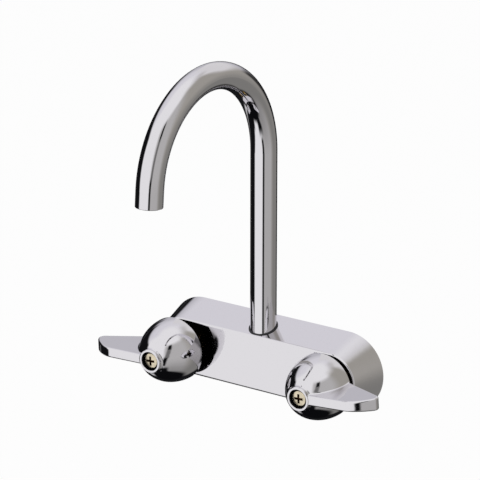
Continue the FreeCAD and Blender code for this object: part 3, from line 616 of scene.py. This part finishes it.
def card_cover(tree, azimuth, elevation, centre, half, soft, lean):
    """How much of a card lies in a direction: one on it, nothing beside it, less along its soft edge."""
    leaning = add_node(tree, "ShaderNodeMath", {0: elevation, 1: -lean, 2: azimuth}, operation="MULTIPLY_ADD")
    covers = []
    for way, middle, reach in zip((leaning.outputs[0], elevation), centre, half):
        offset = add_node(tree, "ShaderNodeMath", {0: way, 1: math.radians(middle)}, operation="SUBTRACT")
        away = add_node(tree, "ShaderNodeMath", {0: offset.outputs[0]}, operation="ABSOLUTE")
        cover = add_node(tree, "ShaderNodeMapRange", {
            "Value": away.outputs[0], "From Min": math.radians(reach + soft),
            "From Max": math.radians(reach - soft)}, interpolation_type="SMOOTHSTEP")
        covers.append(cover.outputs["Result"])
    return add_node(tree, "ShaderNodeMath", {0: covers[0], 1: covers[1]}, operation="MULTIPLY").outputs[0]


def studio_world():
    """A white studio that camera and mirror rays see alike, with cards that only the faucet sees."""
    world = bpy.data.worlds.new("studio_surround")
    bpy.context.scene.world = world
    world.use_nodes = True
    tree = world.node_tree
    tree.nodes.clear()
    way = add_node(tree, "ShaderNodeTexCoord").outputs["Generated"]
    headed = add_node(tree, "ShaderNodeVectorRotate", {"Vector": way, "Angle": -HEADING},
                      rotation_type="Z_AXIS").outputs["Vector"]
    axes = add_node(tree, "ShaderNodeSeparateXYZ", {0: headed}).outputs
    toward = add_node(tree, "ShaderNodeMath", {0: axes["Y"], 1: -1.0}, operation="MULTIPLY").outputs[0]
    azimuth = add_node(tree, "ShaderNodeMath", {0: axes["X"], 1: toward}, operation="ARCTAN2").outputs[0]
    elevation = add_node(tree, "ShaderNodeMath", {0: axes["Z"]}, operation="ARCSINE").outputs[0]
    rays = add_node(tree, "ShaderNodeLightPath").outputs
    mirrored = add_node(tree, "ShaderNodeMath", {0: rays["Is Glossy Ray"], 1: rays["Is Transmission Ray"]},
                        operation="MAXIMUM").outputs[0]
    shows = add_node(tree, "ShaderNodeMath", {0: rays["Is Camera Ray"], 1: mirrored},
                     operation="MAXIMUM").outputs[0]
    before_faucet = add_node(tree, "ShaderNodeMath", {0: 1.0, 1: rays["Is Camera Ray"]},
                             operation="SUBTRACT").outputs[0]
    shade = add_node(tree, "ShaderNodeMix", {
        MIX_SHARE: shows, COLOUR_A: rgba(linear(STUDIO_LEVEL)), COLOUR_B: WHITE},
        data_type="RGBA").outputs[COLOUR_OUT]
    for _, card_azimuth, card_elevation, half_width, half_height, soft, lean, tone in CARDS:
        cover = card_cover(tree, azimuth, elevation, (card_azimuth, card_elevation),
                           (half_width, half_height), soft, lean)
        share = add_node(tree, "ShaderNodeMath", {0: cover, 1: before_faucet}, operation="MULTIPLY")
        shade = add_node(tree, "ShaderNodeMix", {
            MIX_SHARE: share.outputs[0], COLOUR_A: shade, COLOUR_B: rgba(linear(tone))},
            data_type="RGBA").outputs[COLOUR_OUT]
    surround = add_node(tree, "ShaderNodeBackground", {"Color": shade, "Strength": 1.0})
    output = add_node(tree, "ShaderNodeOutputWorld")
    tree.links.new(surround.outputs["Background"], output.inputs["Surface"])


PAPER_WHITE = "#F4F4F2"
PAPER_FIBRE = 3 * MM
GLOW_SHARE = 0.96  # How much of the paper the camera sees as plain white.


def floor_material():
    """Matt white paper: white to the camera apart from a soft shadow, and open to mirror rays.

    The eye gets an even white ground that the faucet's faint shadow lies on."""
    material, tree, output = new_material("matt_studio_paper")
    place = add_node(tree, "ShaderNodeTexCoord").outputs["Object"]
    fibre = add_node(tree, "ShaderNodeTexNoise", {
        "Vector": place, "Scale": 1 / PAPER_FIBRE, "Detail": 3.0}).outputs["Fac"]
    bump = add_node(tree, "ShaderNodeBump", {"Strength": 0.1, "Distance": 0.1 * MM, "Height": fibre})
    paper = add_node(tree, "ShaderNodeBsdfDiffuse", {
        "Color": rgba(linear(PAPER_WHITE)), "Roughness": 0.6, "Normal": bump.outputs["Normal"]}).outputs[0]
    glow = add_node(tree, "ShaderNodeEmission", {"Color": WHITE, "Strength": 1.0}).outputs[0]
    clear = add_node(tree, "ShaderNodeBsdfTransparent").outputs[0]
    rays = add_node(tree, "ShaderNodeLightPath").outputs
    bright = add_node(tree, "ShaderNodeMixShader", {0: GLOW_SHARE, 1: paper, 2: glow}).outputs[0]
    seen = add_node(tree, "ShaderNodeMixShader", {0: rays["Is Camera Ray"], 1: paper, 2: bright}).outputs[0]
    through = add_node(tree, "ShaderNodeMixShader", {0: rays["Is Glossy Ray"], 1: seen, 2: clear}).outputs[0]
    tree.links.new(through, output.inputs["Surface"])
    return material


CAMERA_TARGET = Vector((0.0, -0.050, 0.110))
CAMERA_LENS = 198.99
CAMERA_SENSOR = 36.0
CAMERA_SHIFT = (0.00679, -0.03050)
CAMERA_CLIP = (0.05, 50.0)
KEY_PLACE = Vector((-1.1, -1.5, 1.7))
KEY_SIZE = (1.6, 1.1)
FLOOR_HALF = 6.0


def lay_floor(drop):
    """A square of paper below the faucet."""
    form = bmesh.new()
    corners = ((-1, -1), (1, -1), (1, 1), (-1, 1))
    form.faces.new([form.verts.new((x * FLOOR_HALF, y * FLOOR_HALF, -drop)) for x, y in corners])
    mesh = bpy.data.meshes.new("studio_floor")
    form.to_mesh(mesh)
    form.free()
    mesh.materials.append(floor_material())
    floor = bpy.data.objects.new("studio_floor", mesh)
    bpy.context.scene.collection.objects.link(floor)


def hang_key(power):
    """A large soft lamp above and to the left, which mirror rays don't see."""
    lamp = bpy.data.lights.new("key_softbox", "AREA")
    lamp.shape = "RECTANGLE"
    lamp.size, lamp.size_y = KEY_SIZE
    lamp.energy = power
    key = bpy.data.objects.new("key_softbox", lamp)
    bpy.context.scene.collection.objects.link(key)
    key.location = KEY_PLACE
    key.rotation_euler = (CAMERA_TARGET - KEY_PLACE).to_track_quat("-Z", "Y").to_euler()
    key.visible_glossy = False


def set_camera(turn, rise, distance):
    """The camera, at the photograph's angle as the sidebar has it."""
    back = Vector((math.sin(turn) * math.cos(rise), -math.cos(turn) * math.cos(rise), math.sin(rise)))
    view = bpy.data.cameras.new("catalogue_camera")
    view.lens = CAMERA_LENS
    view.sensor_width = CAMERA_SENSOR
    view.shift_x, view.shift_y = CAMERA_SHIFT
    view.clip_start, view.clip_end = CAMERA_CLIP
    camera = bpy.data.objects.new("catalogue_camera", view)
    bpy.context.scene.collection.objects.link(camera)
    camera.location = CAMERA_TARGET + back * distance
    camera.rotation_euler = (-back).to_track_quat("-Z", "Y").to_euler()
    bpy.context.scene.camera = camera


class FAUCET_OT_studio(Operator):
    """Sets the pale floor, the soft light, the world and the camera"""

    bl_idname = "faucet.studio"
    bl_label = "Set the studio"

    def execute(self, context):
        studio = context.scene.faucet_studio
        context.scene.view_settings.view_transform = "Standard"
        studio_world()
        lay_floor(studio.floor_drop)
        hang_key(studio.key_power)
        set_camera(studio.azimuth, studio.elevation, studio.distance)
        return {"FINISHED"}


class FAUCET_PT_sidebar(Panel):
    """Lists the faucet's settings and steps"""

    bl_idname = "FAUCET_PT_sidebar"
    bl_label = "Bath Faucet"
    bl_space_type = "VIEW_3D"
    bl_region_type = "UI"
    bl_category = "Faucet"

    def draw(self, context):
        for name, group in GROUPS.items():
            box = self.layout.box()
            for setting in group.__annotations__:
                box.prop(getattr(context.scene, name), setting)
        for step in STEPS:
            self.layout.operator(step.bl_idname)


GROUPS = {"faucet_finishes": FaucetFinishes, "faucet_threads": FaucetThreads, "faucet_studio": FaucetStudio}
STEPS = (FAUCET_OT_studio, FAUCET_OT_finish, FAUCET_OT_shanks)
CLASSES = (*GROUPS.values(), *STEPS, FAUCET_PT_sidebar)


def register():
    for kind in CLASSES:
        bpy.utils.register_class(kind)
    for name, group in GROUPS.items():
        setattr(bpy.types.Scene, name, PointerProperty(type=group))


def unregister():
    for name in GROUPS:
        delattr(bpy.types.Scene, name)
    for kind in reversed(CLASSES):
        bpy.utils.unregister_class(kind)


def main():
    register()
    bpy.ops.faucet.studio()
    bpy.ops.faucet.finish()
    bpy.ops.faucet.shanks()


if __name__ == "__main__":
    main()
